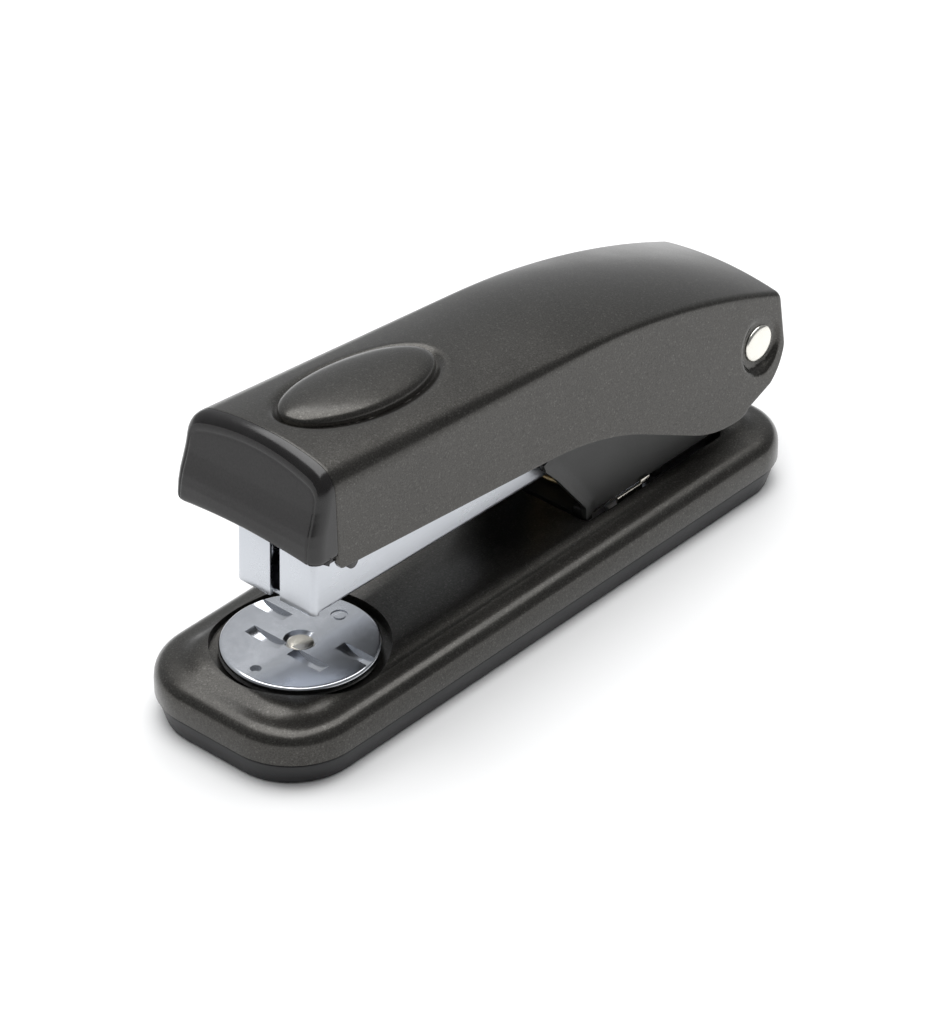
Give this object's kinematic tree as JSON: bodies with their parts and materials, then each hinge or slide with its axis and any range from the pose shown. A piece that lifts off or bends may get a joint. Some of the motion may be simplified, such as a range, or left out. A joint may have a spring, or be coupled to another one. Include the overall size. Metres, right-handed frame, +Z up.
{
  "type": "desk stapler",
  "caption": "Half-strip desk stapler: turning anvil on a rounded base, sprung magazine with strip and pusher, arched cover with nose cap and thumb pad.",
  "frame": {"origin": "under the middle of the base, on the surface it stands on", "axes": "X along the stapler with the nose towards -X and the hinge towards +X, Y across it, Z up"},
  "size_m": [0.1097, 0.033, 0.0489],
  "materials": {
    "pearl_paint": "pearl, half matt",
    "sole_plastic": "matt",
    "black_plastic": "fine grain",
    "nose_plastic": "grained face, polished border",
    "anvil_chrome": "polished",
    "bright_sheet": "satin plated",
    "zinc_sheet": "zinc plated",
    "dark_sheet": "dark",
    "nickel": "satin nickel",
    "brass_wire": "plain",
    "spring_steel": "plain",
    "staple_wire": "plain"
  },
  "bodies": {
    "base": {"base_sole": "sole_plastic", "base_shell": "pearl_paint", "hinge_bracket": "zinc_sheet", "bracket_rivets": "nickel", "hinge_housing": "black_plastic", "pivot_pin": "nickel", "pin_cap": "nickel", "hinge_spacers": "zinc_sheet", "return_spring": "brass_wire", "anvil_spring": "spring_steel"},
    "anvil_lifter": {"anvil_button": "black_plastic"},
    "anvil": {"anvil": "anvil_chrome", "anvil_rivet": "nickel"},
    "magazine": {"magazine": "bright_sheet", "magazine_core": "bright_sheet", "core_rivets": "nickel", "staple_strip": "staple_wire", "spring_rod": "zinc_sheet", "rod_anchor": "zinc_sheet", "spring_bridge": "zinc_sheet", "pusher_spring": "spring_steel", "lift_spring": "spring_steel"},
    "pusher": {"pusher": "dark_sheet"},
    "cover": {"cover": "pearl_paint", "nose_cap": "nose_plastic", "thumb_pad": "pearl_paint", "driver": "zinc_sheet", "driver_rivets": "nickel"}
  },
  "joints": [
    {"name": "magazine_hinge", "type": "hinge", "parent": "base", "child": "magazine", "pos_m": [0.049, 0, 0.0231], "axis": [0, -1, 0], "range_deg": [0, 6], "stiffness_Nm_per_rad": 1.2, "springref_deg": -8.59, "deforming": ["return_spring"]},
    {"name": "cover_hinge", "type": "hinge", "parent": "magazine", "child": "cover", "pos_m": [0.049, 0, 0.0231], "axis": [0, -1, 0], "range_deg": [-80, 5], "stiffness_Nm_per_rad": 0.4, "springref_deg": -2.86, "deforming": ["lift_spring"]},
    {"name": "pusher_slide", "type": "slide", "parent": "magazine", "child": "pusher", "axis": [0.9997, 0, -0.0244], "range_m": [0, 0.026], "stiffness_N_per_m": 40, "springref_m": -0.05, "deforming": ["pusher_spring"]},
    {"name": "anvil_lift", "type": "slide", "parent": "base", "child": "anvil_lifter", "axis": [0, 0, -1], "range_m": [-0.0016, 0], "stiffness_N_per_m": 200, "springref_m": 0.004, "deforming": ["anvil_spring"]},
    {"name": "anvil_turn", "type": "hinge", "parent": "anvil_lifter", "child": "anvil", "pos_m": [-0.036, 0, 0.0104], "axis": [0, 0, 1], "continuous": true}
  ]
}
